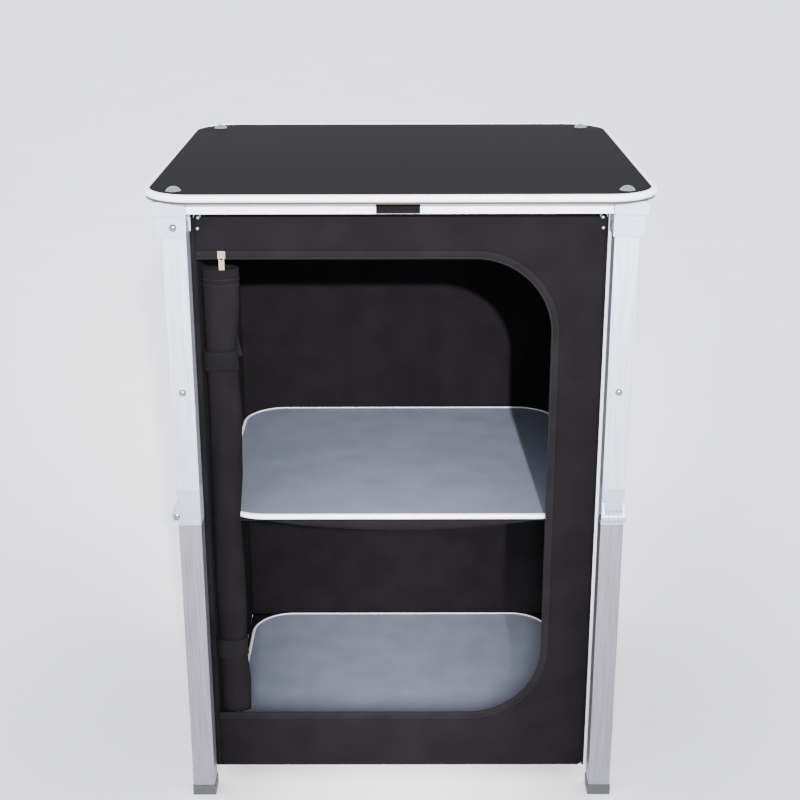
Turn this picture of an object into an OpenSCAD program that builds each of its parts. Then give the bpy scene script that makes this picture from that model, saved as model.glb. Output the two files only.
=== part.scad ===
// Folding camp kitchen table with a hanging fabric cabinet.
// Origin: on the ground, under the centre of the top. +X right, +Y back, +Z up. Millimetres.

/* [Table top] */
// Width of the top, left to right
top_w = 600; // [500:5:760]
// Depth of the top, front to back
top_d = 540; // [450:5:680]
// Height of the trim's highest line above the ground
top_h = 810; // [680:5:980]
// Corner radius of the top, seen from above
top_r = 62; // [48:1:80]
// Height of the trim around the top
trim_h = 8.5; // [7:0.5:12]
// Width of the trim's lip over the top
lip_w = 7; // [5.5:0.5:10]
// Thickness of the trim's lip
lip_t = 1.2; // [0.8:0.1:2]
// Thickness of the board under the laminate
board_t = 8.5; // [8:0.5:14]
// Thickness of the laminate
laminate_t = 0.8; // [0.5:0.1:1.5]
// Radius of a cap bolt's domed head
cap_r = 9; // [7:0.5:11]
// Height of a cap bolt's domed head
cap_h = 5; // [3:0.5:6]
// Radius of a cap bolt's shank
shank_r = 3; // [2.5:0.5:4]

/* [Legs] */
// Outside width of the square leg tube
leg_w = 28; // [24:1:34]
// Wall of the leg tube
leg_wall = 1.5; // [1:0.25:2.5]
// From the top's edge to a leg's centre line
leg_inset = 38; // [34:1:50]
// From the ground to the knee's axis
knee_z = 404; // [330:1:470]
// From the knee's butt joint up to where the upper tube starts
knee_up = 36; // [28:1:50]
// Length of the cheeks below the knee's butt joint
knee_down = 12; // [9:0.5:16]
// Radius of the knee's knuckles
knuckle_r = 6.9; // [5.5:0.1:7.5]
// Width of the middle knuckle
knuckle_mid = 11.8; // [9:0.2:14]
// Width of all three knuckles
knuckle_all = 30.2; // [29:0.2:34]
// Gap between the tubes of a folded leg
fold_gap = 3.2; // [3:0.1:6]
// Radius of a knee pin
knee_pin_r = 2.5; // [2:0.25:3]
// Height of the foot cap
foot_h = 14; // [8:1:24]
// How far the foot cap stands out from its tube
foot_lip = 1; // [0.5:0.25:1.25]

/* [Frame] */
// Height of a rail
rail_h = 15.5; // [12:0.5:22]
// Wall of a rail
rail_wall = 1.2; // [1:0.1:2]
// Depth of a bracket's cheeks below the rails
cheek_h = 26; // [22:1:34]
// Thickness of a bracket's outer walls
wall_t = 5.2; // [4:0.1:7]
// Thickness of a bracket's inner cheek
inner_t = 2.2; // [1.6:0.1:3]
// How far a bracket's head stands out past its walls
head_lip = 3; // [1:0.5:4]
// From a leg's pivot up to the rails' underside
pivot_drop = 15; // [15:0.5:18]
// Radius of a leg's pivot rivet
pivot_r = 3; // [2.5:0.25:4]

/* [Cabinet] */
// Thickness of the cabinet's fabric, as drawn
cloth_t = 2; // [1:0.25:3]
// Height of the cabinet's bottom above the ground
cabinet_z = 24; // [16:1:60]
// Height of the hem under the top
hem_h = 13; // [8:1:14]
// Height of the doorway's sill
door_z0 = 105; // [70:5:160]
// Height of the doorway's head
door_z1 = 724; // [600:1:730]
// Width of the fabric right of the doorway
door_side = 61; // [40:1:100]
// Radius of the doorway's corners
door_r = 95; // [60:5:130]
// Width of the zip tape around the doorway
tape_w = 9; // [6:1:12]
// Width of the rolled door
roll_w = 47; // [38:1:54]
// Depth of the rolled door
roll_d = 28; // [24:1:32]

/* [Shelves] */
// Gap between a shelf and the cabinet's side walls
shelf_gap = 6; // [3:0.5:12]
// Gap between a shelf and the cabinet's front and back
shelf_gap_y = 8; // [6:0.5:14]
// Corner radius of a shelf
shelf_r = 62; // [55:1:80]
// Height of a shelf's trim
shelf_t = 7; // [6:0.5:12]
// Height of the middle shelf's upper face
mid_z = 387; // [300:1:460]
// How far the sling hangs below the middle shelf at its front
sag = 13; // [6:1:20]

/* [Hidden] */
$fn = 64;
// Clearance between pieces that move past each other
run = 0.3;
// Clearance between pieces that are assembled and stay put
seat = 0.2;
// Radial clearance of a fixed pin and of a turning one
pin_fixed = 0.02;
pin_turns = 0.05;
// Cap bolt's length below its head
shank_l = 20;
// Height and radius of a rivet's dome
dome_h = 2.5;
dome_r = 4.5;
tail_h = 1;
tail_r = 3.5;
// Rivet at the middle of an upper tube
rivet_r = 2;
rivet_drop = 203;
// Stub of a bracket in a rail, and of a knee piece in a tube
stub_l = 14;
plug_l = 30;
// Corners of a bracket's front cheek
cheek_r_in = 9;
cheek_r_out = 3;

leg_x = top_w / 2 - leg_inset;
leg_y = top_d / 2 - leg_inset;
half = leg_w / 2;
bore = leg_w - 2 * leg_wall;
edge_in = 2.2;
board_z = top_h - lip_t - laminate_t - board_t;
rail_z = board_z - rail_h;
pivot_z = rail_z - pivot_drop;
knee_x = -half - fold_gap / 2;
relief_r = knuckle_r + 2 * seat;
cheek_t = 3;
open_x = half + 1.5;
inner_y = half + run + inner_t;
outer = half + run + wall_t;
rail_y0 = -half;
rail_y1 = inner_y - 0.5;

// Cabinet: outside half sizes, clear of the swinging legs
cab_x = leg_x - rail_y1 - cloth_t;
cab_y = leg_y - rail_y1 - cloth_t;
in_x = cab_x - cloth_t;
in_y = cab_y - cloth_t;
cab_top = board_z - 0.5;
hem_z = cab_top - hem_h;
door_x = cab_x - door_side;
tape_t = 0.6;
shelf_x = in_x - shelf_gap;
shelf_y = in_y - shelf_gap_y;
floor_z = cabinet_z + cloth_t + shelf_t;
roll_x = -in_x + 1.8;
roll_y = -cab_y + 0.2;
roll_z0 = door_z0 + 2 * seat;
narrow_z = mid_z - 22;
narrow_h = 40;
narrow_r = 10.5;
strap_t = 1.5;
strap_w = 25;
strap_z = [188, 582];
slider_x = -212;
slider_z = door_z1 + tape_w / 2;
slider_w = 9;
slider_t = 1;
ear_w = 3;
ear_r = 1.6;
ear_t = 1.7;
bar_r = 0.38;
lug_r = 0.75;
tab_t = 0.8;
// Bar that the zip's pull hangs on
bar_z = slider_z + ear_r;
bar_y = -cab_y - tape_t - run - slider_t - ear_t / 2 - 0.05;
wire_r = 0.6;
hook_r = 4;
screw_r = 2;

// Each corner: leg centre and the turn that brings the front left corner there
FL = 0;
FR = 1;
BR = 2;
BL = 3;
CORNERS = [[-leg_x, -leg_y, 0], [leg_x, -leg_y, 90], [leg_x, leg_y, 180], [-leg_x, leg_y, 270]];
SPANS = [2 * leg_x, 2 * leg_y, 2 * leg_x, 2 * leg_y];

// ---- Shapes that repeat ----

// Draws a corner's pieces, made for the front left one, at corner i.
module at_corner(i) {
    translate([CORNERS[i][0], CORNERS[i][1], 0])
        rotate([0, 0, CORNERS[i][2]])
            children();
}

// Turns an outline drawn in X and Z into a slab from y0 to y1.
module slab_y(y0, y1) {
    translate([0, y1, 0])
        rotate([90, 0, 0])
            linear_extrude(y1 - y0)
                children();
}

module pin_y(r, y0, y1) {
    slab_y(y0, y1)
        circle(r);
}

// A box given by its two opposite corners.
module block(low, high) {
    translate(low)
        cube(high - low);
}

// A rounded rectangle about the origin.
module round_rect(w, d, r) {
    square([w - 2 * r, d], center = true);
    square([w, d - 2 * r], center = true);
    for (x = [-1, 1])
        for (y = [-1, 1])
            translate([x * (w / 2 - r), y * (d / 2 - r)])
                circle(r);
}

// A shallow spherical dome on the plane z = 0.
module dome(r, h) {
    ball = (r * r + h * h) / (2 * h);
    intersection() {
        translate([0, 0, h - ball])
            sphere(ball);
        cylinder(r = r, h = h);
    }
}

// Section of a wrapped edge trim: a half-round nose with a lip over the board.
// u runs inward from the outermost line, the second value up from the trim's top.
module trim_section(h, lip, t) {
    nose = h / 2;
    a0 = -acos((nose - edge_in) / nose);
    polygon(concat(
        [for (k = [0:10]) let (a = a0 + (90 - a0) * k / 10) [nose - nose * cos(a), nose * sin(a) - nose]],
        [[lip - 0.5, 0], [lip, -0.4], [lip, -t], [edge_in, -t]]
    ));
}

// Sweeps the trim's section round a w by d outline with corners of radius r.
module wrapped_trim(w, d, r, z, h, lip, t) {
    translate([0, 0, z])
        for (q = [0:3])
            rotate([0, 0, 90 * q]) {
                a = q % 2 == 0 ? w / 2 : d / 2;
                b = q % 2 == 0 ? d / 2 : w / 2;
                translate([a, b - r, 0])
                    rotate([90, 0, 0])
                        linear_extrude(2 * (b - r))
                            mirror([1, 0])
                                trim_section(h, lip, t);
                translate([a - r, b - r, 0])
                    rotate_extrude(angle = 90)
                        translate([r, 0])
                            mirror([1, 0])
                                trim_section(h, lip, t);
            }
}

// ---- Table top ----

module top_board() {
    color("#6c5a50")
        difference() {
            translate([0, 0, board_z])
                linear_extrude(board_t)
                    round_rect(top_w - 2 * edge_in - 2 * seat, top_d - 2 * edge_in - 2 * seat,
                               top_r - edge_in - seat);
            bolt_holes(board_z - 1, board_t + 2);
        }
}

module top_laminate() {
    color("#28262a")
        difference() {
            translate([0, 0, board_z + board_t])
                linear_extrude(laminate_t)
                    round_rect(top_w - 2 * edge_in - 2 * seat, top_d - 2 * edge_in - 2 * seat,
                               top_r - edge_in - seat);
            bolt_holes(board_z, board_t + laminate_t + 1);
        }
}

module bolt_holes(z, h) {
    for (i = [0:3])
        at_corner(i)
            translate([0, 0, z])
                cylinder(r = shank_r + seat, h = h);
}

module top_trim() {
    color("#f2f4f6")
        wrapped_trim(top_w, top_d, top_r, top_h, trim_h, lip_w, lip_t);
}

module cap_bolts() {
    color("#d9dbdd")
        for (i = [0:3])
            at_corner(i)
                translate([0, 0, top_h - lip_t]) {
                    dome(cap_r, cap_h);
                    translate([0, 0, -shank_l])
                        cylinder(r = shank_r, h = shank_l + 1);
                }
}

// ---- Frame under the top ----

// Rail that runs from corner i to the next corner.
module rail(i) {
    x1 = SPANS[i] - inner_y;
    color("#eef3fa")
        at_corner(i)
            difference() {
                block([open_x, rail_y0, rail_z], [x1, rail_y1, board_z]);
                block([open_x - 1, rail_y0 + rail_wall, rail_z + rail_wall],
                      [x1 + 1, rail_y1 - rail_wall, board_z - rail_wall]);
            }
}

// A bracket's stub fills a rail's end: x0 to x1 along the rail, seen from corner i.
module rail_stub(x0, x1) {
    g = rail_wall + seat;
    block([x0, rail_y0 + g, rail_z + g], [x1, rail_y1 - g, board_z - g]);
}

module bracket(i) {
    z0 = rail_z - cheek_h;
    before = (i + 3) % 4;
    color("#dde3ea") {
        at_corner(i)
            difference() {
                union() {
                    block([-outer - head_lip, -outer - head_lip, rail_z], [open_x, inner_y, board_z]);
                    block([-outer, -outer, z0], [-half - run, inner_y, rail_z]);
                    slab_y(-outer, -half - run)
                        cheek_outline(z0);
                    block([-half - run, half + run, z0], [open_x, inner_y, rail_z]);
                    rail_stub(open_x, open_x + stub_l);
                }
                translate([0, 0, pivot_z])
                    pin_y(pivot_r + pin_fixed, -outer - 1, inner_y + 1);
                translate([0, 0, rail_z])
                    cylinder(r = shank_r + pin_fixed, h = rail_h + 1);
            }
        at_corner(before)
            rail_stub(SPANS[before] - inner_y - stub_l, SPANS[before] - inner_y);
    }
}

// The front cheek, with its free lower corner rounded for the leg to swing out.
module cheek_outline(z0) {
    r = cheek_r_in;
    s = cheek_r_out;
    polygon(concat(
        [[-outer, rail_z]],
        [for (k = [0:4]) let (a = 180 + 90 * k / 4) [-outer + s + s * cos(a), z0 + s + s * sin(a)]],
        [for (k = [0:8]) let (a = 270 + 90 * k / 8) [open_x - r + r * cos(a), z0 + r + r * sin(a)]],
        [[open_x, rail_z]]
    ));
}

module pivot_rivets() {
    color("#c9cbce")
        for (i = [0:3])
            at_corner(i)
                translate([0, 0, pivot_z]) {
                    pin_y(pivot_r, -outer - 0.5, inner_y + 0.5);
                    translate([0, -outer, 0])
                        rotate([90, 0, 0])
                            dome(dome_r, dome_h);
                    translate([0, inner_y, 0])
                        rotate([-90, 0, 0])
                            dome(tail_r, tail_h);
                }
}

// Blank plate on the front rail.
module label_plate() {
    color("#151515")
        block([-28, -leg_y - half - 1, rail_z + 0.5], [23, -leg_y - half, board_z - 1]);
}

// ---- Legs ----

// Upper tube: its round top end turns in the bracket.
module upper_leg(i) {
    color("#e4e8f0")
        at_corner(i)
            difference() {
                slab_y(-half, half)
                    tube_outline(half);
                slab_y(-bore / 2, bore / 2)
                    tube_outline(bore / 2);
                block([-bore / 2, -bore / 2, knee_z + knee_up - 1], [bore / 2, bore / 2, knee_z + knee_up + 1]);
                translate([0, 0, pivot_z])
                    pin_y(pivot_r + pin_turns, -half - 1, half + 1);
                translate([0, 0, pivot_z - rivet_drop])
                    rotate([0, 0, rivet_turn(i)])
                        pin_y(rivet_r + pin_fixed, -half - 1, half + 1);
            }
}

module tube_outline(r) {
    translate([-r, knee_z + knee_up])
        square([2 * r, pivot_z - knee_z - knee_up]);
    translate([0, pivot_z])
        circle(r);
}

// The tube's rivet faces the front on the front legs and the back on the rear legs.
function rivet_turn(i) = i % 2 == 0 ? 0 : -90;

// Upper half of the knee: block, cheeks, two outer knuckles and the plug in the upper tube.
module knee_block(i) {
    y1 = knuckle_all / 2;
    y0 = knuckle_mid / 2 + run;
    plug = bore / 2 - seat;
    color("#cbd4de")
        at_corner(i)
            difference() {
                union() {
                    block([-half, -half, knee_z], [half, half, knee_z + knee_up]);
                    block([-plug, -plug, knee_z + knee_up], [plug, plug, knee_z + knee_up + plug_l]);
                    for (s = [-1, 1]) {
                        block([-half, s * half - (s > 0 ? cheek_t : 0), knee_z - knee_down],
                              [half, s * half + (s > 0 ? 0 : cheek_t), knee_z]);
                        translate([knee_x, 0, knee_z])
                            pin_y(knuckle_r, s > 0 ? y0 : -y1, s > 0 ? y1 : -y0);
                        slab_y(s > 0 ? half - cheek_t : -half, s > 0 ? half : -half + cheek_t)
                            polygon([[-half, knee_z + 17], [knee_x - 6, knee_z + 3.2],
                                     [knee_x, knee_z], [-half + 1, knee_z]]);
                    }
                }
                translate([knee_x, 0, knee_z]) {
                    pin_y(relief_r, -y0, y0);
                    pin_y(knee_pin_r + pin_fixed, -y1 - 1, y1 + 1);
                }
            }
}

// Lower half of the knee: tongue between the cheeks, middle knuckle and plug in the lower tube.
module knee_tongue(i) {
    w = half - cheek_t - run;
    m = knuckle_mid / 2;
    plug = bore / 2 - seat;
    z1 = knee_z - knee_down - run;
    color("#cbd4de")
        at_corner(i)
            difference() {
                union() {
                    difference() {
                        block([-half, -w, z1], [half, w, knee_z - run]);
                        translate([knee_x, 0, knee_z]) {
                            pin_y(relief_r, m, half);
                            pin_y(relief_r, -half, -m);
                        }
                    }
                    block([-plug, -plug, z1 - plug_l], [plug, plug, z1]);
                    translate([knee_x, 0, knee_z])
                        pin_y(knuckle_r, -m, m);
                }
                translate([knee_x, 0, knee_z])
                    pin_y(knee_pin_r + pin_turns, -m - 1, m + 1);
            }
}

// The knee's hinge pin and the rivet at the middle of the upper tube.
module leg_rivets(i) {
    y1 = knuckle_all / 2;
    color("#c9cbce")
        at_corner(i) {
            translate([knee_x, 0, knee_z]) {
                pin_y(knee_pin_r, -y1 - 0.5, y1 + 0.5);
                for (s = [90, -90])
                    rotate([s, 0, 0])
                        translate([0, 0, y1])
                            dome(dome_r, 1.6);
            }
            translate([0, 0, pivot_z - rivet_drop])
                rotate([0, 0, rivet_turn(i)]) {
                    pin_y(rivet_r, -half - 0.5, half - 0.2);
                    translate([0, -half, 0])
                        rotate([90, 0, 0])
                            dome(dome_r, dome_h);
                }
        }
}

module lower_leg(i) {
    z1 = knee_z - knee_down - run;
    color("#b4b3b8")
        at_corner(i)
            difference() {
                block([-half, -half, foot_h / 2], [half, half, z1]);
                block([-bore / 2, -bore / 2, foot_h / 2 - 1], [bore / 2, bore / 2, z1 + 1]);
            }
}

// Foot cap: a shoe around the tube's end, with a plug inside it.
module foot(i) {
    w = half + foot_lip;
    plug = bore / 2 - seat;
    color("#3a3a3c")
        at_corner(i) {
            difference() {
                block([-w, -w, 0], [w, w, foot_h]);
                block([-half, -half, foot_h / 2], [half, half, foot_h + 1]);
            }
            block([-plug, -plug, foot_h / 2 - 1], [plug, plug, foot_h + 8]);
        }
}

// ---- Cabinet ----

// The doorway, grown by g on its head, sill and right side. It is open to the left corner.
module doorway(g) {
    r = door_r + g;
    x0 = -cab_x - 1;
    x1 = door_x + g;
    translate([x0, door_z0 - g])
        square([x1 - r - x0, door_z1 - door_z0 + 2 * g]);
    translate([x1 - r, door_z0 - g + r])
        square([r, door_z1 - door_z0 + 2 * g - 2 * r]);
    for (z = [door_z0 - g + r, door_z1 + g - r])
        translate([x1 - r, z])
            circle(r);
}

module front_panel() {
    color("#322f31")
        slab_y(-cab_y, -in_y)
            difference() {
                translate([-cab_x, cabinet_z])
                    square([2 * cab_x, cab_top - cabinet_z]);
                doorway(0);
            }
}

module zip_tape() {
    color("#242226")
        slab_y(-cab_y - tape_t, -cab_y)
            intersection() {
                difference() {
                    doorway(tape_w);
                    doorway(0);
                }
                translate([-cab_x, cabinet_z])
                    square([2 * cab_x, cab_top - cabinet_z]);
            }
}

module back_panel() {
    color("#2a282b")
        block([-cab_x, in_y, cabinet_z], [cab_x, cab_y, cab_top]);
}

module side_panel(s) {
    color("#2d2b2e")
        block([s > 0 ? in_x : -cab_x, -in_y, cabinet_z], [s > 0 ? cab_x : -in_x, in_y, cab_top]);
}

module left_panel() {
    side_panel(-1);
}

module right_panel() {
    side_panel(1);
}

// Webbing sewn round the cabinet's top and fixed to the rails' inner faces.
module top_hem() {
    color("#201f22")
        difference() {
            block([-cab_x - cloth_t, -cab_y - cloth_t, hem_z], [cab_x + cloth_t, cab_y + cloth_t, cab_top]);
            block([-cab_x, -cab_y, hem_z - 1], [cab_x, cab_y, cab_top + 1]);
        }
}

module floor_panel() {
    color("#2a282b")
        block([-in_x + run, -in_y + run, cabinet_z], [in_x - run, in_y - run, cabinet_z + cloth_t]);
}

// ---- Shelves ----

module shelf_board(z) {
    color("#8f95a2")
        translate([0, 0, z - shelf_t + 1])
            linear_extrude(shelf_t - 1 - 0.8)
                round_rect(2 * (shelf_x - edge_in - seat), 2 * (shelf_y - edge_in - seat),
                           shelf_r - edge_in - seat);
}

module shelf_trim(z) {
    color("#f2f4f6")
        wrapped_trim(2 * shelf_x, 2 * shelf_y, shelf_r, z, shelf_t, 5, 0.8);
}

module mid_shelf() {
    shelf_board(mid_z);
}

module mid_shelf_trim() {
    shelf_trim(mid_z);
}

module floor_shelf() {
    shelf_board(floor_z);
}

module floor_shelf_trim() {
    shelf_trim(floor_z);
}

// Fabric sling under the middle shelf, sewn to the side walls, with a sagging front edge.
module mid_sling() {
    z1 = mid_z - shelf_t;
    chord = shelf_x - shelf_r;
    ring = (chord * chord + sag * sag) / (2 * sag);
    color("#2f2d30") {
        translate([0, 0, z1 - cloth_t])
            linear_extrude(cloth_t) {
                round_rect(2 * (shelf_x - 1), 2 * (shelf_y - 1), shelf_r);
                square([2 * (in_x - run), 2 * (shelf_y - shelf_r)], center = true);
            }
        slab_y(-shelf_y + 1, -shelf_y + 1 + cloth_t)
            intersection() {
                translate([0, z1 - cloth_t - sag + ring])
                    circle(ring, $fn = 360);
                translate([-chord - 3, z1 - cloth_t - sag - 1])
                    square([2 * chord + 6, sag + 1 + cloth_t / 2]);
            }
    }
}

// ---- Rolled door ----

// A flat-sided roll: w wide in X, d deep in Y, from the front face back.
module roll_outline(w, d) {
    for (x = [d / 2, w - d / 2])
        translate([roll_x + x, roll_y + d / 2])
            circle(d / 2);
    translate([roll_x + d / 2, roll_y])
        square([w - d, d]);
}

// The door, rolled up beside the left wall. It is pinched where it passes the middle shelf.
module door_roll() {
    reach = sqrt(pow(shelf_r + narrow_r + 0.5, 2) - pow(shelf_y - shelf_r + roll_y + narrow_r, 2));
    narrow_w = -(shelf_x - shelf_r) - reach + narrow_r - roll_x;
    color("#353235") {
        translate([0, 0, narrow_z + narrow_h])
            linear_extrude(door_z1 - narrow_z - narrow_h)
                roll_outline(roll_w, roll_d);
        translate([0, 0, narrow_z])
            linear_extrude(narrow_h)
                roll_outline(narrow_w, 2 * narrow_r);
        translate([0, 0, roll_z0])
            linear_extrude(narrow_z - roll_z0)
                roll_outline(roll_w - 5, roll_d - 2);
        block([-in_x + seat, roll_y + 1, roll_z0], [roll_x + 6, roll_y + narrow_r, door_z1]);
    }
}

module roll_straps() {
    color("#1d1c1f")
        for (k = [0, 1])
            translate([0, 0, strap_z[k]])
                linear_extrude(strap_w)
                    strap_outline(k == 0 ? roll_w - 5 : roll_w, k == 0 ? roll_d - 2 : roll_d);
}

module strap_outline(w, d) {
    r = d / 2;
    difference() {
        union() {
            translate([roll_x + w - r, roll_y + r])
                circle(r + strap_t);
            translate([roll_x + r, roll_y - strap_t])
                square([w - d, d + 2 * strap_t]);
        }
        roll_outline(w, d);
    }
}

// ---- Zip and small hardware ----

// Zip slider, with an ear that carries its pull.
module zip_slider() {
    y1 = -cab_y - tape_t - run;
    y0 = y1 - slider_t;
    color("#d8cfae")
        difference() {
            union() {
                block([slider_x - slider_w / 2, y0, slider_z - slider_w / 2],
                      [slider_x + slider_w / 2, y1, slider_z + slider_w / 2]);
                block([slider_x - ear_w / 2, y0 - ear_t, slider_z],
                      [slider_x + ear_w / 2, y0, slider_z + 2 * ear_r]);
            }
            translate([slider_x, bar_y, bar_z])
                rotate([0, 90, 0])
                    cylinder(r = bar_r + pin_turns, h = ear_w + 2, center = true);
        }
}

// The pull: a thin tab below a loop whose bar passes through the slider's ear.
module zip_pull() {
    lug_x = ear_w / 2 + 1.1;
    color("#e0d8b8") {
        translate([slider_x, bar_y, bar_z])
            rotate([0, 90, 0])
                cylinder(r = bar_r, h = 2 * lug_x, center = true);
        for (s = [-1, 1]) {
            translate([slider_x + s * lug_x, bar_y, bar_z])
                rotate([0, 90, 0])
                    cylinder(r = lug_r, h = 1.4, center = true);
            translate([slider_x + s * lug_x, bar_y, (bar_z + slider_z - 7) / 2])
                cube([1.4, tab_t, bar_z - slider_z + 7], center = true);
        }
        block([slider_x - lug_x - 0.7, bar_y - tab_t / 2, slider_z - 18],
              [slider_x + lug_x + 0.7, bar_y + tab_t / 2, slider_z - 6]);
    }
}

// Wire hooks that hang from the hem in front of the cabinet's upper corners.
module cabinet_hooks() {
    color("#e6e2d2")
        for (x = [-1, 1])
            for (y = [-1, 1])
                translate([x * (cab_x - 9), y * (cab_y + cloth_t / 2), hem_z])
                    scale([x, 1, 1])
                        wire_hook();
}

module wire_hook() {
    drop = 12;
    translate([0, 0, -drop])
        cylinder(r = wire_r, h = drop);
    translate([hook_r, 0, -drop])
        rotate([-90, 180, 0])
            rotate_extrude(angle = 180)
                translate([hook_r, 0])
                    circle(wire_r);
}

// Screws that hold the cabinet's upper corners.
module corner_screws() {
    color("#d9dbdd")
        for (x = [-1, 1])
            for (z = [pivot_z + 4, pivot_z - 9])
                for (y = [-1, 1])
                    translate([x * (cab_x - 6 + (z > pivot_z ? 0 : 1)), y * cab_y, z])
                        rotate([y > 0 ? -90 : 90, 0, 0])
                            dome(screw_r, 1);
}

// ---- What is drawn ----

top_board();
top_laminate();
top_trim();
cap_bolts();
rail(FL);  // rail_front
rail(FR);  // rail_right
rail(BR);  // rail_back
rail(BL);  // rail_left
bracket(FL);  // bracket_fl
bracket(FR);  // bracket_fr
bracket(BR);  // bracket_br
bracket(BL);  // bracket_bl
pivot_rivets();
label_plate();
upper_leg(FL);  // upper_leg_fl
upper_leg(FR);  // upper_leg_fr
upper_leg(BR);  // upper_leg_br
upper_leg(BL);  // upper_leg_bl
knee_block(FL);  // knee_block_fl
knee_block(FR);  // knee_block_fr
knee_block(BR);  // knee_block_br
knee_block(BL);  // knee_block_bl
leg_rivets(FL);  // leg_rivets_fl
leg_rivets(FR);  // leg_rivets_fr
leg_rivets(BR);  // leg_rivets_br
leg_rivets(BL);  // leg_rivets_bl
lower_leg(FL);  // lower_leg_fl
lower_leg(FR);  // lower_leg_fr
lower_leg(BR);  // lower_leg_br
lower_leg(BL);  // lower_leg_bl
knee_tongue(FL);  // knee_tongue_fl
knee_tongue(FR);  // knee_tongue_fr
knee_tongue(BR);  // knee_tongue_br
knee_tongue(BL);  // knee_tongue_bl
foot(FL);  // foot_fl
foot(FR);  // foot_fr
foot(BR);  // foot_br
foot(BL);  // foot_bl
front_panel();
back_panel();
left_panel();
right_panel();
top_hem();
zip_tape();
floor_panel();
floor_shelf();
floor_shelf_trim();
mid_shelf();
mid_shelf_trim();
mid_sling();
door_roll();
roll_straps();
zip_slider();
zip_pull();
cabinet_hooks();
corner_screws();
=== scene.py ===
# %% [markdown]
# # A camp kitchen table
#
# The hard parts (top, frame, legs, shelves, small metal) and the hem band round the
# cabinet's top come ready made from the CAD frame and only get a finish here. The
# cloth is made in this file: four cabinet walls with their bindings and zip tape, the
# floor cloth, the sling under the middle shelf and the rolled-up door with its straps.
#
# The frame is loaded first.

# %% Load the frame
import math

import bpy
import numpy as np
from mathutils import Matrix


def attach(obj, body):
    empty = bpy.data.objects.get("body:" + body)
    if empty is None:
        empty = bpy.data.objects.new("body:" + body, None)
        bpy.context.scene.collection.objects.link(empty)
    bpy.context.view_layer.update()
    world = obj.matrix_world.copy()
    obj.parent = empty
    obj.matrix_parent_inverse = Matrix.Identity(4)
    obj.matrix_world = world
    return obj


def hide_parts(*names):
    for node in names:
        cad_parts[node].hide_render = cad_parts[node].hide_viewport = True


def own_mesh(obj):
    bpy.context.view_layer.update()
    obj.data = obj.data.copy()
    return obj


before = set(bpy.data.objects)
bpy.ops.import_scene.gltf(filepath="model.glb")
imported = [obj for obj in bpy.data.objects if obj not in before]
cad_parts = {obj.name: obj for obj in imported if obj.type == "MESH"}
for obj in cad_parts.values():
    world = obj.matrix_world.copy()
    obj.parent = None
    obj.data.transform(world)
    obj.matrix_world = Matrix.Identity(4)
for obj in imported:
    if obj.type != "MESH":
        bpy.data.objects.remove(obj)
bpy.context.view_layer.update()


# %% [markdown]
# ## Colours
#
# Colours are easiest to pick as the sRGB hex a screen shows, but light is worked out
# in linear values. One function turns the first into the second.


# %% Colour helper
def rgb(code):
    """sRGB hex to linear RGBA: ((c + 0.055) / 1.055) ** 2.4 above 0.04045, else c / 12.92."""
    parts = np.array([int(code[i : i + 2], 16) for i in (0, 2, 4)]) / 255
    low = parts / 12.92
    high = ((parts + 0.055) / 1.055) ** 2.4
    linear = np.where(parts > 0.04045, high, low)
    return (*linear.tolist(), 1.0)


print("mid grey is", rgb("808080")[:3])

# %% [markdown]
# ## Materials
#
# Every finish is one Principled shader with a procedural pattern behind it. The
# helper `add` makes a shader node and fills its sockets, with a number or with
# another node's output, so each finish is a few lines. Patterns are scaled in real
# millimetres: objects stand at the origin, so Object coordinates are metres.

# %% Shader helpers
NOISE_DETAIL = 3.0
PATTERN_DEEP = 0.0004
DARK_AT = 0.35
LIGHT_AT = 0.65


def add(mat, kind, props=None, **inputs):
    """A shader node. An input is named by its socket, with _ for a space, or n0, n1 by place."""
    node = mat.node_tree.nodes.new(kind)
    for key, value in (props or {}).items():
        setattr(node, key, value)
    for key, value in inputs.items():
        by_place = key[0] == "n" and key[1:].isdigit()
        socket = node.inputs[int(key[1:]) if by_place else key.replace("_", " ")]
        if isinstance(value, bpy.types.NodeSocket):
            mat.node_tree.links.new(value, socket)
        else:
            socket.default_value = value
    return node


def finish(name, colour, rough, metal=0.0):
    """A new material with its shader's colour, roughness and metal set. Returns both."""
    mat = bpy.data.materials.new(name)
    mat.use_nodes = True
    shader = mat.node_tree.nodes["Principled BSDF"]
    shader.inputs["Base Color"].default_value = rgb(colour)
    shader.inputs["Roughness"].default_value = rough
    shader.inputs["Metallic"].default_value = metal
    return mat, shader


def pattern(mat, shader, size_mm, stretch, colours, rough, bump):
    """Noise of that size: it mixes two colours, moves roughness and raises a small bump."""
    where = add(mat, "ShaderNodeTexCoord").outputs["Object"]
    scaled = add(mat, "ShaderNodeMapping", Vector=where, Scale=stretch)
    noise = add(
        mat,
        "ShaderNodeTexNoise",
        Vector=scaled.outputs["Vector"],
        Scale=1000 / size_mm,
        Detail=NOISE_DETAIL,
    )
    value = noise.outputs["Fac"]
    ramp = add(mat, "ShaderNodeValToRGB", Fac=value)
    for stop, at, colour in zip(ramp.color_ramp.elements, (DARK_AT, LIGHT_AT), colours):
        stop.position = at
        stop.color = rgb(colour)
    tree = mat.node_tree
    tree.links.new(ramp.outputs["Color"], shader.inputs["Base Color"])
    span = add(mat, "ShaderNodeMapRange", Value=value, To_Min=rough[0], To_Max=rough[1])
    tree.links.new(span.outputs["Result"], shader.inputs["Roughness"])
    relief = add(mat, "ShaderNodeBump", Height=value, Strength=bump, Distance=PATTERN_DEEP)
    tree.links.new(relief.outputs["Normal"], shader.inputs["Normal"])
    return relief


print("shader helpers ready")

# %% [markdown]
# ## Finishes of the hard parts
#
# The top is a black laminate with a fine grain; the rim is a bright white plastic
# profile. Legs are drawn aluminium: the same noise stretched along the tube
# gives the brush lines. The lower legs are the duller of the two.

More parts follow.
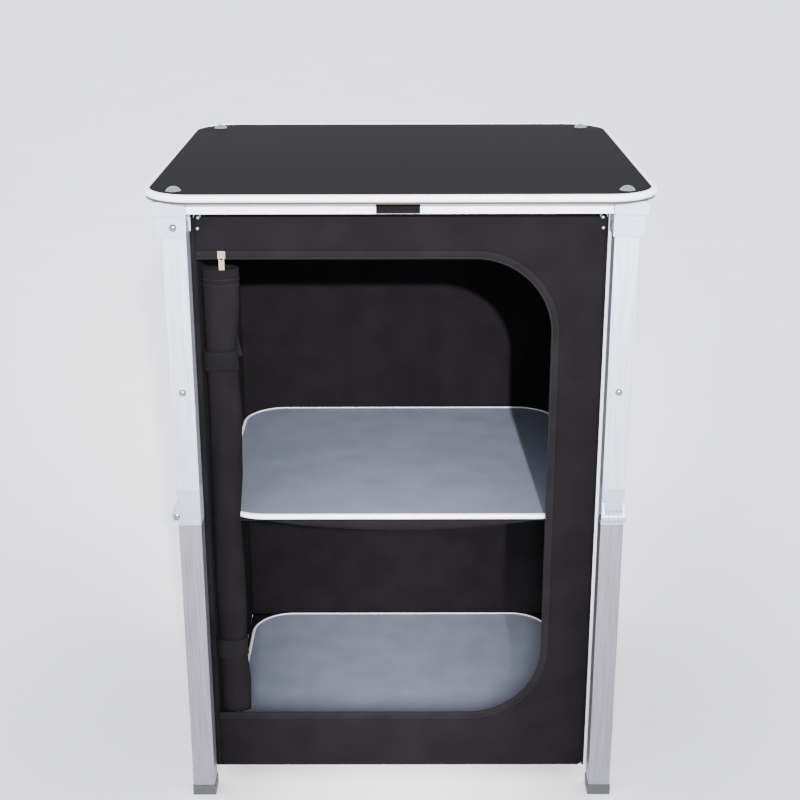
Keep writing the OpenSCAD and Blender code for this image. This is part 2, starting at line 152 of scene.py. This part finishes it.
# %% Hard finishes
ROUND = (1.0, 1.0, 1.0)
# noise drawn out fifty times along z makes lines that run up a leg
ALONG_Z = (1.0, 1.0, 0.02)


def plain(name, dark, light, size_mm, rough, metal=0.0, bump=0.15, stretch=ROUND):
    """A finish whose one noise pattern runs between a dark and a light tone."""
    mat, shader = finish(name, light, rough[0], metal)
    pattern(mat, shader, size_mm, stretch, (dark, light), rough, bump)
    return mat


mats = {
    # matt fibreboard, darkened well below its own brown: the thin line under the rim is partly the
    # board's edge and partly painted shade of the gap there
    "mdf": plain("fibreboard_edge_and_gap_shade", "33281f", "43352c", 0.6, (0.75, 0.85)),
    # near-black and matt; its mirror light is turned down below
    "laminate": plain("black_laminate", "0a090b", "0d0c0e", 0.9, (0.5, 0.6), bump=0.05),
    # clean, bright and slightly glossy, so the rim reads as one white line
    "trim": plain("white_plastic_trim", "eceef3", "f6f7fa", 30, (0.28, 0.34), bump=0.02),
    # silver-white paint, brighter than the legs
    "rail": plain("painted_aluminium_rail", "e6eaf2", "f1f4fa", 18, (0.35, 0.42), bump=0.03),
    # vertical draw lines give the legs their grain
    "leg_upper": plain(
        "brushed_aluminium_upper", "cdd3e4", "e4e9f6", 1.4, (0.3, 0.42), 0.85, 0.3, ALONG_Z
    ),
    # duller and warmer, so the two halves of a leg can be told apart
    "leg_lower": plain(
        "brushed_aluminium_lower", "86838a", "9896a0", 1.4, (0.36, 0.5), 0.85, 0.3, ALONG_Z
    ),
    # satin cast corners, a touch darker than the rail
    "bracket": plain("satin_cast_bracket", "a3adc0", "b2bccd", 3, (0.4, 0.5), 0.3, 0.1),
    # blue-grey knee fittings
    "knee": plain("satin_knee_fitting", "a0aabb", "b0bac9", 3, (0.38, 0.48), 0.4, 0.1),
    # polished domes catch one small highlight each
    "steel": plain("zinc_plated_rivet", "83868c", "989ba2", 2, (0.12, 0.2), 1.0, 0.05),
    # thin pale wire
    "wire": plain("pale_steel_wire", "9b9da3", "b2b4ba", 1, (0.25, 0.35), 0.9, 0.05),
    # blank black plate
    "label": plain("blank_black_plate", "060606", "0a0a0b", 2, (0.4, 0.5), bump=0.05),
    # blue-grey coated shelves with a soft, even gloss
    "shelf": plain("grey_coated_shelf", "666a79", "6d7180", 40, (0.36, 0.42), bump=0.03),
    # warm, slightly worn metal
    "zip_metal": plain("brass_silver_zip", "b5a787", "d0c6ae", 1.2, (0.22, 0.36), 1.0, 0.1),
    # dark rubbery plastic under the tubes
    "foot": plain("grey_plastic_foot", "3a3a3d", "454549", 1.5, (0.5, 0.6), bump=0.2),
}
# less mirror light at a low angle keeps the black sheets black
for slot, level in (("laminate", 0.01), ("label", 0.05)):
    mats[slot].node_tree.nodes["Principled BSDF"].inputs["Specular IOR Level"].default_value = level
print(len(mats), "hard finishes")

# %% [markdown]
# ## Cloth finishes
#
# The cabinet cloth is a coated polyester weave. Seen from two metres its threads
# melt together, so the eye gets three things: the weave as a very fine bump, a
# slow change of tone, and a soft sheen at grazing angles.

# %% Cloth finishes
WAVE_PERIOD_MM = 314  # a wave texture of scale 1 repeats every 2 * pi / 20 metres
WEAVE_BUMP = 0.35
WEAVE_DEEP = 0.0002
TONE_MM = 45  # size of the slow change of tone


def cloth(name, dark, light, thread_mm, sheen):
    """A weave: two crossing waves of thread_mm in the cloth's own flat coordinates."""
    mat, shader = finish(name, light, 0.8)
    slow = pattern(mat, shader, TONE_MM, ROUND, (dark, light), (0.72, 0.86), 0.25)
    flat = add(mat, "ShaderNodeTexCoord").outputs["UV"]
    waves = []
    for direction in ("X", "Y"):
        props = {"bands_direction": direction}
        scale = WAVE_PERIOD_MM / thread_mm
        wave = add(mat, "ShaderNodeTexWave", props, Vector=flat, Scale=scale)
        waves.append(wave.outputs["Fac"])
    props = {"operation": "MULTIPLY"}
    both = add(mat, "ShaderNodeMath", props, n0=waves[0], n1=waves[1])
    weave = add(
        mat,
        "ShaderNodeBump",
        Height=both.outputs["Value"],
        Normal=slow.outputs["Normal"],
        Strength=WEAVE_BUMP,
        Distance=WEAVE_DEEP,
    )
    mat.node_tree.links.new(weave.outputs["Normal"], shader.inputs["Normal"])
    shader.inputs["Specular IOR Level"].default_value = 0.05
    shader.inputs["Sheen Weight"].default_value = sheen
    shader.inputs["Sheen Roughness"].default_value = 0.5
    return mat


# black polyester wall cloth, faintly warm
mats["fabric"] = cloth("black_polyester_cloth", "0e0c0e", "121012", 0.6, 0.005)
# heavier and glossier tape for straps and bindings
mats["webbing"] = cloth("black_woven_tape", "0b0a0b", "121113", 1.2, 0.01)
# zip tape is a shade lighter than the wall
zip_tape_mat = cloth("zip_tape_weave", "110f11", "171517", 0.8, 0.01)
# sewing thread, just light enough to be seen
thread_mat, thread_shader = finish("grey_sewing_thread", "171618", 0.6)
thread_shader.inputs["Specular IOR Level"].default_value = 0.1
pattern(thread_mat, thread_shader, 0.5, ROUND, ("151416", "1b1a1c"), (0.7, 0.8), 0.2)
# moulded nylon zip teeth
teeth_mat, teeth_shader = finish("black_nylon_teeth", "151516", 0.6)
teeth_shader.inputs["Specular IOR Level"].default_value = 0.2
pattern(teeth_mat, teeth_shader, 1.0, ROUND, ("060606", "0a0a0a"), (0.55, 0.65), 0.1)
print("cloth finishes ready")

# %% [markdown]
# ## Giving the frame its finishes
#
# Each part's name tells its finish: the first start in the list that fits is taken.
# The hem band fits none of them and gets the wall cloth, like the cloth parts that the
# new pieces below stand in for. Only the materials change here; the meshes don't.

# %% Paint the frame
SLOT_BY_NAME = (
    # the board's edge carries painted shade of the gap under the rim
    ("top_board", "mdf"),
    ("top_laminate", "laminate"),
    ("top_trim", "trim"),
    ("floor_shelf_trim", "trim"),
    ("mid_shelf_trim", "trim"),
    ("cap_bolts", "steel"),
    ("rail_", "rail"),
    ("bracket_", "bracket"),
    ("pivot_rivets", "steel"),
    ("leg_rivets", "steel"),
    ("label_plate", "label"),
    ("upper_leg", "leg_upper"),
    ("lower_leg", "leg_lower"),
    ("knee_", "knee"),
    ("foot_", "foot"),
    ("floor_shelf", "shelf"),
    ("mid_shelf", "shelf"),
    ("zip_slider", "zip_metal"),
    ("zip_pull", "zip_metal"),
    ("cabinet_hooks", "wire"),
    ("corner_screws", "wire"),
)
for node_name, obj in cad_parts.items():
    matches = [slot for start, slot in SLOT_BY_NAME if node_name.startswith(start)]
    chosen = mats[matches[0]] if matches else mats["fabric"]
    obj.data.materials.clear()
    obj.data.materials.append(chosen)
print("painted", len(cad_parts), "CAD nodes")

# %% [markdown]
# ## From a grid of points to a piece
#
# Each cloth piece is a surface written as formulas of two numbers, u and v. The
# formulas give a grid of points, and this helper joins neighbours into faces. The
# cloth's flat coordinates, in metres, go along as UVs so the weave keeps its size.
# A Solidify modifier then gives the sheet its thickness.

# %% Mesh helper


def surface(name, points, flat, mat, thick, wrap=False):
    """A mesh of the (nu, nv, 3) grid. With wrap, the last row joins the first.

    Face (i, j) joins points (i, j), (i + 1, j), (i + 1, j + 1), (i, j + 1)."""
    nu, nv = points.shape[:2]
    i, j = np.meshgrid(np.arange(nu if wrap else nu - 1), np.arange(nv - 1), indexing="ij")
    k = (i + 1) % nu
    corners = [i * nv + j, k * nv + j, k * nv + j + 1, i * nv + j + 1]
    faces = np.stack(corners, axis=-1).reshape(-1, 4)
    mesh = bpy.data.meshes.new(name)
    mesh.vertices.add(nu * nv)
    mesh.vertices.foreach_set("co", points.reshape(-1).astype(np.float32))
    mesh.loops.add(faces.size)
    mesh.loops.foreach_set("vertex_index", faces.reshape(-1).astype(np.int32))
    mesh.polygons.add(len(faces))
    mesh.polygons.foreach_set("loop_start", np.arange(0, faces.size, 4, dtype=np.int32))
    mesh.polygons.foreach_set("use_smooth", np.ones(len(faces), bool))
    uv = mesh.uv_layers.new(name="flat")
    at = flat.reshape(-1, 2)[faces.reshape(-1)]
    uv.data.foreach_set("uv", at.reshape(-1).astype(np.float32))
    mesh.update(calc_edges=True)
    mesh.validate()
    mesh.materials.append(mat)
    obj = bpy.data.objects.new(name, mesh)
    bpy.context.scene.collection.objects.link(obj)
    if thick:
        solid = obj.modifiers.new("thickness", "SOLIDIFY")
        solid.thickness = thick
        solid.offset = 0.0
    print(name, len(faces), "faces")
    return obj


def grid(nu, nv):
    """Two (nu, nv) arrays that run from 0 to 1 along each way of a grid."""
    return np.meshgrid(np.linspace(0, 1, nu), np.linspace(0, 1, nv), indexing="ij")


CLOTH_THICK = 0.0014

# %% [markdown]
# ## Cabinet walls
#
# The walls hang from the frame and carry no load, so they fall in soft vertical
# folds. A cloth simulation could do it, but a sum of a few slow waves is exact,
# repeats every time and can't pass through the legs: the folds only go inwards.

# %% Three plain walls
WALL_X = 0.243  # half the cabinet's width
WALL_Y = 0.213  # half its depth
WALL_WIDE = 2 * WALL_X
WALL_DEEP = 2 * WALL_Y
WALL_LOW = 0.024
WALL_HIGH = 0.799
WALL_TALL = WALL_HIGH - WALL_LOW
BACK_FOLD = 0.0075
SIDE_FOLD = 0.004


def folds(u, v, depth, seed):
    """How far a wall stands inwards: depth * edge * (0.5 + sum of three waves), from 0 up.

    The edge factor is 0 at both sides and about a third of its middle at top and foot."""
    a = np.sin(2 * np.pi * (2.3 * u + 0.18 * np.sin(2 * np.pi * v + seed)) + seed)
    b = np.sin(2 * np.pi * (5.1 * u - 0.5 * v) + 2 * seed)
    c = np.sin(2 * np.pi * (9.7 * u + 1.1 * v) + 3 * seed)
    edge = np.clip(np.sin(np.pi * u) * 3, 0, 1) * (0.35 + 0.65 * np.sin(np.pi * v))
    return depth * edge * np.clip(0.5 + 0.24 * a + 0.16 * b + 0.1 * c, 0, 1)


def wall(name, start, along, inward, width, depth, seed):
    """start + along * width * u + up * tall * v + inward * folds(u, v)."""
    u, v = grid(120, 120)
    points = (
        np.array(start)
        + np.array(along) * (width * u)[..., None]
        + np.array((0, 0, 1)) * (WALL_TALL * v)[..., None]
        + np.array(inward) * folds(u, v, depth, seed)[..., None]
    )
    flat = np.stack([width * u, WALL_TALL * v], axis=-1)
    return surface(name, points, flat, mats["fabric"], CLOTH_THICK)


back_start = (WALL_X, WALL_Y, WALL_LOW)
left_start = (-WALL_X, WALL_Y, WALL_LOW)
right_start = (WALL_X, -WALL_Y, WALL_LOW)
back = wall("cloth_back", back_start, (-1, 0, 0), (0, -1, 0), WALL_WIDE, BACK_FOLD, 1.1)
left = wall("cloth_left", left_start, (0, -1, 0), (1, 0, 0), WALL_DEEP, SIDE_FOLD, 2.3)
right = wall("cloth_right", right_start, (0, 1, 0), (-1, 0, 0), WALL_DEEP, SIDE_FOLD, 0.4)

# %% [markdown]
# ## The walls ride with the table
#
# Cloth can't turn on a hinge. Each wall is attached to the table's body, takes a mesh of its own,
# and the CAD part it stands in for is hidden.


def collapse(obj, node):
    """Ride the table, take a mesh of its own, and stand in for a CAD node."""
    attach(obj, "table")
    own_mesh(obj)
    if node:
        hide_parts(node)


for obj, node, wide in (
    (back, "back_panel", WALL_WIDE),
    (left, "left_panel", WALL_DEEP),
    (right, "right_panel", WALL_DEEP),
):
    collapse(obj, node)
print("three walls hang")

# %% [markdown]
# ## The front wall and its doorway
#
# The doorway reaches the left edge and has two large round corners on the right, so
# the wall is a C-shaped band. It is easiest as a strip: one side follows the
# doorway's edge, the other follows the wall's outline, and rulings join them.

# %% Front wall
DOOR_LOW = 0.105
DOOR_HIGH = 0.724
DOOR_RIGHT = 0.183
DOOR_LEFT = -WALL_X
DOOR_R = 0.095
RIPPLE_DEEP = 0.0012
RIPPLE_LONG = 0.19


def doorway(count):
    """The doorway's edge as points (x, z), outward normals and distance, evenly spaced.

    Straight, quarter turn, straight, quarter turn, straight, by distance along it."""
    run = DOOR_RIGHT - DOOR_R - DOOR_LEFT
    arc = DOOR_R * np.pi / 2
    side = DOOR_HIGH - DOOR_LOW - 2 * DOOR_R
    s = np.linspace(0, 2 * run + 2 * arc + side, count)
    turn = np.clip(s - run, 0, arc) / DOOR_R
    turn = turn + np.clip(s - run - arc - side, 0, arc) / DOOR_R
    top = np.clip(s, 0, run)
    down = np.clip(s - run - arc, 0, side)
    foot = np.clip(s - run - 2 * arc - side, 0, run)
    normal = np.stack([np.sin(turn), np.cos(turn)], axis=-1)
    px = DOOR_LEFT + top + DOOR_R * normal[:, 0] - foot
    pz = DOOR_HIGH - DOOR_R + DOOR_R * normal[:, 1] - down
    return np.stack([px, pz], axis=-1), normal, s


edge_at, edge_out, edge_s = doorway(420)


def outline(points, normals):
    """The wall's outline beyond each doorway point: the ruling's hit on the wall's rectangle."""
    reach_x = (WALL_X - points[:, 0]) / np.maximum(normals[:, 0], 1e-9)
    up = (WALL_HIGH - points[:, 1]) / np.maximum(normals[:, 1], 1e-9)
    down = (points[:, 1] - WALL_LOW) / np.maximum(-normals[:, 1], 1e-9)
    reach = np.minimum(np.minimum(reach_x, up), down)
    return points + normals * reach[:, None]


outer = outline(edge_at, edge_out)
ruling = np.linspace(0, 1, 28)[None, :]
front_x = edge_at[:, :1] + (outer[:, :1] - edge_at[:, :1]) * ruling
front_z = edge_at[:, 1:] + (outer[:, 1:] - edge_at[:, 1:]) * ruling
ripple = np.sin(2 * np.pi * edge_s / RIPPLE_LONG)[:, None] * np.sin(np.pi * ruling)
front_y = -WALL_Y + RIPPLE_DEEP * (0.5 + 0.5 * ripple) * np.sin(np.pi * ruling)
front_points = np.stack([front_x, front_y, front_z], axis=-1)
front_flat = np.stack([front_x, front_z], axis=-1)
front = surface("cloth_front", front_points, front_flat, mats["fabric"], CLOTH_THICK)
collapse(front, "front_panel")

# %% [markdown]
# ## Corner bindings
#
# A band of tape is sewn to each upright corner of the cabinet and stands out sideways
# from the seam. A flat strip is enough for it. Two of the four are slimmer, because a
# knee passes close to them when its leg folds.

# %% Bindings
BINDING_WIDE = 0.2505
BINDING_SLIM = 0.245
BINDING_TOP = 0.783
BINDING_THICK = 0.0012
bindings = []
for corner, side_x, side_y, reach in (
    ("fl", -1, -1, BINDING_WIDE),
    ("fr", 1, -1, BINDING_SLIM),
    ("br", 1, 1, BINDING_WIDE),
    ("bl", -1, 1, BINDING_SLIM),
):
    u, v = grid(4, 60)
    bind_x = side_x * (WALL_X + (reach - WALL_X) * u)
    bind_z = WALL_LOW + (BINDING_TOP - WALL_LOW) * v
    bind_y = 0 * u + side_y * WALL_Y
    bind_points = np.stack([bind_x, bind_y, bind_z], axis=-1)
    bind_flat = np.stack([bind_x, bind_z], axis=-1)
    name = "corner_binding_" + corner
    bindings.append(surface(name, bind_points, bind_flat, mats["webbing"], BINDING_THICK))
    collapse(bindings[-1], None)

# %% [markdown]
# ## Zip, teeth and stitches
#
# The zip runs round the doorway as a tape with a row of moulded teeth on its inner
# edge and a line of stitches. Teeth and stitches are tiny blocks set out by
# distance along the edge; one mesh holds a whole row.

# %% Band and blocks round the doorway


def strip(name, near, far, y, mat, thick):
    """A flat band round the doorway: point + normal * (near + (far - near) * v)."""
    across = np.linspace(near, far, 4)[None, :, None]
    xz = edge_at[:, None, :] + edge_out[:, None, :] * across
    points = np.stack([xz[..., 0], np.full(xz.shape[:2], y), xz[..., 1]], axis=-1)
    flat = np.stack(np.broadcast_arrays(edge_s[:, None], across[..., 0]), axis=-1)
    return surface(name, points, flat, mat, thick)


def blocks(name, centre, along, size, mat):
    """Boxes at each (x, y, z) centre, turned so that their length lies along (x, z).

    Along, y and side are a left-handed set, so the faces of these boxes point inwards."""
    side = np.stack([along[:, 1], -along[:, 0]], axis=-1)
    sign = np.array([[a, b, c] for a in (-1, 1) for b in (-1, 1) for c in (-1, 1)]) / 2
    axes = np.zeros((len(centre), 3, 3))
    axes[:, 0, 0::2] = along
    axes[:, 1, 1] = 1
    axes[:, 2, 0::2] = side
    corners = centre[:, None] + np.einsum("kc,ncd->nkd", sign * np.array(size), axes)
    quads = np.array(
        [[0, 1, 3, 2], [4, 6, 7, 5], [0, 4, 5, 1], [2, 3, 7, 6], [0, 2, 6, 4], [1, 5, 7, 3]]
    )
    faces = quads[None] + 8 * np.arange(len(centre))[:, None, None]
    mesh = bpy.data.meshes.new(name)
    mesh.from_pydata(corners.reshape(-1, 3).tolist(), [], faces.reshape(-1, 4).tolist())
    mesh.update()
    mesh.materials.append(mat)
    obj = bpy.data.objects.new(name, mesh)
    bpy.context.scene.collection.objects.link(obj)
    print(name, len(centre), "blocks")
    return obj


def along_edge(name, pitch, size, gap, y, mat):
    """Blocks every pitch round the doorway, gap outside its edge."""
    steps = np.arange(pitch, edge_s[-1] - pitch, pitch)
    x = np.interp(steps, edge_s, edge_at[:, 0])
    z = np.interp(steps, edge_s, edge_at[:, 1])
    nx = np.interp(steps, edge_s, edge_out[:, 0])
    nz = np.interp(steps, edge_s, edge_out[:, 1])
    centre = np.stack([x + nx * gap, np.full(len(x), y), z + nz * gap], axis=-1)
    obj = blocks(name, centre, np.stack([nz, -nx], axis=-1), size, mat)
    collapse(obj, None)
    return obj


# %% [markdown]
# ## The zip itself
#
# The tape stands just in front of the wall, and the stitches lie on its front face.

# %% Zip tape, teeth and stitches
TAPE_NEAR = 0.0002
TAPE_FAR = 0.009
TAPE_Y = -0.2143
TAPE_THICK = 0.0006
TOOTH = (0.0012, 0.0012, 0.0024)
TOOTH_PITCH = 0.0022
STITCH = (0.003, 0.0004, 0.0005)
STITCH_PITCH = 0.0042
STITCH_GAP = 0.0075
STITCH_Y = -0.2147

tape = strip("zip_tape_cloth", TAPE_NEAR, TAPE_FAR, TAPE_Y, zip_tape_mat, TAPE_THICK)
collapse(tape, "zip_tape")
teeth = along_edge("zip_teeth", TOOTH_PITCH, TOOTH, 0.0, TAPE_Y, teeth_mat)
stitches = along_edge("zip_stitches", STITCH_PITCH, STITCH, STITCH_GAP, STITCH_Y, thread_mat)

# %% [markdown]
# ## Floor cloth and sling
#
# The floor is one cloth panel under the lower shelf. The sling carries the middle
# shelf and ends in front in a short valance, deepest in the middle. It is one bent
# sheet: flat, then over the front edge, then down.

# %% Floor cloth
INNER_X = 0.2415  # half the room between the side walls
INNER_Y = 0.2115
FLOOR_Z = 0.0249
FLOOR_SAG = 0.0003
u, v = grid(60, 60)
floor_x = (2 * u - 1) * INNER_X
floor_y = (2 * v - 1) * INNER_Y
floor_z = FLOOR_Z - FLOOR_SAG * np.sin(np.pi * u) * np.sin(np.pi * v)
floor_points = np.stack([floor_x, floor_y, floor_z], axis=-1)
floor_flat = np.stack([floor_x, floor_y], axis=-1)
floor_cloth = surface("cloth_floor", floor_points, floor_flat, mats["fabric"], CLOTH_THICK)
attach(floor_cloth, "cabinet_floor")
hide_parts("floor_panel")

# %% Sling
SLING_Z = 0.379
SLING_BACK = 0.142
SLING_FRONT = -0.2005
SLING_DEEP = SLING_BACK - SLING_FRONT
VALANCE = 0.0135
VALANCE_HALF = 0.177
VALANCE_LEAST = 0.05  # share of its depth that it keeps beyond VALANCE_HALF
VALANCE_OUT = 0.0015  # how far it stands out, reached VALANCE_BEND further down
VALANCE_BEND = 0.003
u, v = grid(121, 90)
sling_x = (2 * u - 1) * INNER_X
hang = VALANCE * np.clip(1 - (sling_x / VALANCE_HALF) ** 2, VALANCE_LEAST, 1)
travel = v * (SLING_DEEP + hang)
over = np.clip(travel - SLING_DEEP, 0, None)
lip = VALANCE_OUT * np.clip(over / VALANCE_BEND, 0, 1)
sling_y = np.maximum(SLING_BACK - travel, SLING_FRONT) - lip
sling_z = SLING_Z - over
sling_points = np.stack([sling_x, sling_y, sling_z], axis=-1)
sling_flat = np.stack([sling_x, travel], axis=-1)
sling = surface("cloth_sling", sling_points, sling_flat, mats["fabric"], CLOTH_THICK)
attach(sling, "mid_level")
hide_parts("mid_sling")

# %% [markdown]
# ## The rolled door
#
# The door is one sheet rolled up and tied at the left. Its cross-section is a
# spiral inside an oval; the oval narrows where a strap pulls it in and where it
# passes the middle shelf. The spiral is shorter than the real door: it holds a bit
# over seven tenths of the cloth that the doorway needs. Its top is open, but the turns
# lie so close that they hardly show from outside.

# %% Rolled door
ROLL_LEFT = -0.2402
ROLL_FRONT = -0.2134
ROLL_LOW = 0.1054
ROLL_TALL = 0.6046
ROLL_THICK = 0.0011
TURNS = 5.4
START_ANGLE = -0.9
CORE = 0.12  # the spiral starts at this share of the oval
CORE_DROP = 0.006  # the middle of the open top lies this much lower
# heights above the ground and the roll's half axes there, in millimetres
HEIGHTS = np.array([105, 150, 188, 200, 213, 260, 320, 385, 440, 520, 582, 595, 607, 660, 724])
HALF_X = np.array([20, 20.5, 19, 18.5, 19, 20.5, 20, 18.5, 21, 22, 20, 19.5, 20, 23.5, 24.5])
HALF_Y = np.array([12.5, 13, 12, 11.5, 12, 12.8, 12, 10.5, 12.6, 13, 12.2, 11.8, 12.2, 13, 13.2])


def oval(z, theta):
    """The roll's centre x, y and half axes at height z, with slow wrinkles.

    The left and front edges stay straight, so the centre is an edge plus a half axis."""
    wrinkle = 0.03 * np.sin(3 * theta + 14 * z) + 0.02 * np.sin(5 * theta - 31 * z)
    wide = np.interp(z * 1000, HEIGHTS, HALF_X) / 1000
    deep = np.interp(z * 1000, HEIGHTS, HALF_Y) / 1000
    shape = 0.96 + wrinkle
    return ROLL_LEFT + wide, ROLL_FRONT + deep, wide * shape, deep * shape


u, v = grid(520, 160)
theta = START_ANGLE + TURNS * 2 * np.pi * u
share = CORE + (1 - CORE) * u
roll_z = ROLL_LOW + ROLL_TALL * v
roll_z = roll_z - CORE_DROP * v**20 * (1 - u)
mid_x, mid_y, wide, deep = oval(roll_z, theta)
roll_x = mid_x + wide * share * np.cos(theta)
roll_y = mid_y + deep * share * np.sin(theta)
roll_points = np.stack([roll_x, roll_y, roll_z], axis=-1)
half_up = roll_points.shape[1] // 2
steps = np.linalg.norm(np.diff(roll_points[:, half_up, :2], axis=0), axis=1)
unrolled = np.concatenate([[0], np.cumsum(steps)])
roll_flat = np.stack(np.broadcast_arrays(unrolled[:, None], roll_z), axis=-1)
roll = surface("door_rolled", roll_points, roll_flat, mats["fabric"], ROLL_THICK)
print("the spiral is", round(float(unrolled[-1]), 3), "m long")

# %% [markdown]
# ## Straps and hem of the roll
#
# Two straps tie the roll. Each is a band that follows the roll's oval a little
# outside it, so it can't cut into the cloth. A small flap of the upper strap stands
# up at its right. Two thin plain bands just under the roll's top stand for the two
# lines of stitches along the door's hem.

# %% Straps and hem
BAND_UV = 0.02  # metres of tape per radian: the roll's wider half axis
STRAP_GAP = 0.0013
STRAP_THICK = 0.0012
HEM_GAP = 0.0005
HEM_THICK = 0.0003


def band(name, low, high, gap, mat, thick):
    """A closed band round the roll: the oval at that height plus gap, for theta from 0 to 2 pi."""
    turn = np.linspace(0, 2 * np.pi, 96, endpoint=False)[:, None]
    height = np.linspace(low, high, 8)[None, :]
    mx, my, a, b = oval(height, turn)
    x = mx + (a + gap) * np.cos(turn)
    y = my + (b + gap) * np.sin(turn)
    z = np.broadcast_to(height, x.shape)
    flat = np.stack(np.broadcast_arrays(turn * BAND_UV, height), axis=-1)
    obj = surface(name, np.stack([x, y, z], axis=-1), flat, mat, thick, wrap=True)
    collapse(obj, None)
    return obj


strap_low = band("strap_lower", 0.188, 0.213, STRAP_GAP, mats["webbing"], STRAP_THICK)
strap_high = band("strap_upper", 0.582, 0.607, STRAP_GAP, mats["webbing"], STRAP_THICK)
hem_high = band("door_hem_stitch_upper", 0.6965, 0.6972, HEM_GAP, thread_mat, HEM_THICK)
hem_low = band("door_hem_stitch_lower", 0.6895, 0.6902, HEM_GAP, thread_mat, HEM_THICK)

# %% Strap flap and the roll's cloth
FLAP_X = ROLL_LEFT + 0.0385
FLAP_Y = ROLL_FRONT + 0.010
FLAP_LOW = 0.600
FLAP_TALL = 0.034
FLAP_WIDE = 0.009
FLAP_NARROWS = 0.9  # share of its width lost towards the tip
FLAP_LEAN = 0.004
FLAP_BULGE = 0.002
u, v = grid(12, 16)
flap_x = FLAP_X + FLAP_WIDE * u * (1 - FLAP_NARROWS * v)
flap_y = FLAP_Y - FLAP_LEAN * u + FLAP_BULGE * np.sin(np.pi * v)
flap_z = FLAP_LOW + FLAP_TALL * v
flap_points = np.stack([flap_x, flap_y, flap_z], axis=-1)
flap_flat = np.stack([flap_x, flap_z], axis=-1)
flap = surface("strap_flap", flap_points, flap_flat, mats["webbing"], STRAP_THICK)
collapse(flap, None)
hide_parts("roll_straps")
collapse(roll, "door_roll")

# %% [markdown]
# ## Floor
#
# The table stands on a pale seamless floor: one large flat face, a little below the
# feet so that the two don't fight over the same place.

# %% Stage
STAGE_WIDE = 40
STAGE_Z = -0.0005
stage_mat, stage_shader = finish("pale_floor", "ffffff", 0.9)
pattern(stage_mat, stage_shader, 400, ROUND, ("fbfbfc", "ffffff"), (0.88, 0.92), 0.0)
u, v = grid(2, 2)
stage_x = (u - 0.5) * STAGE_WIDE
stage_y = (v - 0.5) * STAGE_WIDE
stage_points = np.stack([stage_x, stage_y, 0 * u + STAGE_Z], axis=-1)
stage_floor = surface("stage_floor", stage_points, np.stack([u, v], axis=-1), stage_mat, 0)

# %% [markdown]
# ## Light
#
# A bright white room lights everything softly from all sides, and a weak square light
# adds a little from the front. Two spots do the rest. The one above the front shines
# through the doorway and gives the cabinet's back wall its bright patch; the one about
# level with the top aims at the floor shelf.

# %% Room and lights
ROOM_COLOUR = "f6f8ff"
ROOM_STRENGTH = 2.4
SPOT_ANGLE = 24  # degrees

world = bpy.data.worlds.new("white_room")
bpy.context.scene.world = world
world.use_nodes = True
room = world.node_tree.nodes["Background"]
room.inputs["Color"].default_value = rgb(ROOM_COLOUR)
room.inputs["Strength"].default_value = ROOM_STRENGTH


def studio_light(name, kind, place, aim, power):
    """A light of that kind at place that shines at aim. Returns its data."""
    data = bpy.data.lights.new(name, kind)
    data.energy = power
    obj = bpy.data.objects.new(name, data)
    obj.location = place
    away = np.array(place) - np.array(aim)
    flat_run = math.hypot(away[0], away[1])
    obj.rotation_euler = (math.atan2(flat_run, away[2]), 0, math.atan2(away[0], -away[1]))
    bpy.context.scene.collection.objects.link(obj)
    return data


def spot(name, place, aim, power, radius):
    """A spot with a fully soft rim. A larger radius makes softer shadows."""
    data = studio_light(name, "SPOT", place, aim, power)
    data.spot_size = math.radians(SPOT_ANGLE)
    data.spot_blend = 1.0
    data.shadow_soft_size = radius


fill = studio_light("front_fill", "AREA", (-0.8, -3.0, 2.2), (0, 0, 0.6), 20)
fill.size = 1.6
spot("front_key", (0.3, -3.2, 1.75), (0, 0, 0.74), 1800, 0.03)
spot("shelf_light", (0.0, -1.5, 0.8), (0, 0, 0.03), 420, 0.15)
print(len(bpy.data.lights), "lights")

# %% [markdown]
# ## Camera
#
# The camera stands a little over two table heights in front and looks slightly down,
# so the top, both shelves and the open doorway all show.

# %% Camera
CAMERA_PLACE = (0.002, -1.875, 1.135)
CAMERA_TILT = 70.46
CAMERA_TURN = 0.10
CAMERA_ROLL = -0.13
LENS = 64.67
SENSOR = 36
camera_data = bpy.data.cameras.new("camera")
camera_data.lens = LENS
camera_data.sensor_width = SENSOR
camera = bpy.data.objects.new("camera", camera_data)
camera.location = CAMERA_PLACE
camera.rotation_euler = (math.radians(CAMERA_TILT), 0, math.radians(CAMERA_TURN))
camera.rotation_euler.rotate_axis("Z", math.radians(CAMERA_ROLL))
bpy.context.scene.collection.objects.link(camera)
bpy.context.scene.camera = camera
print("camera at", tuple(camera.location))
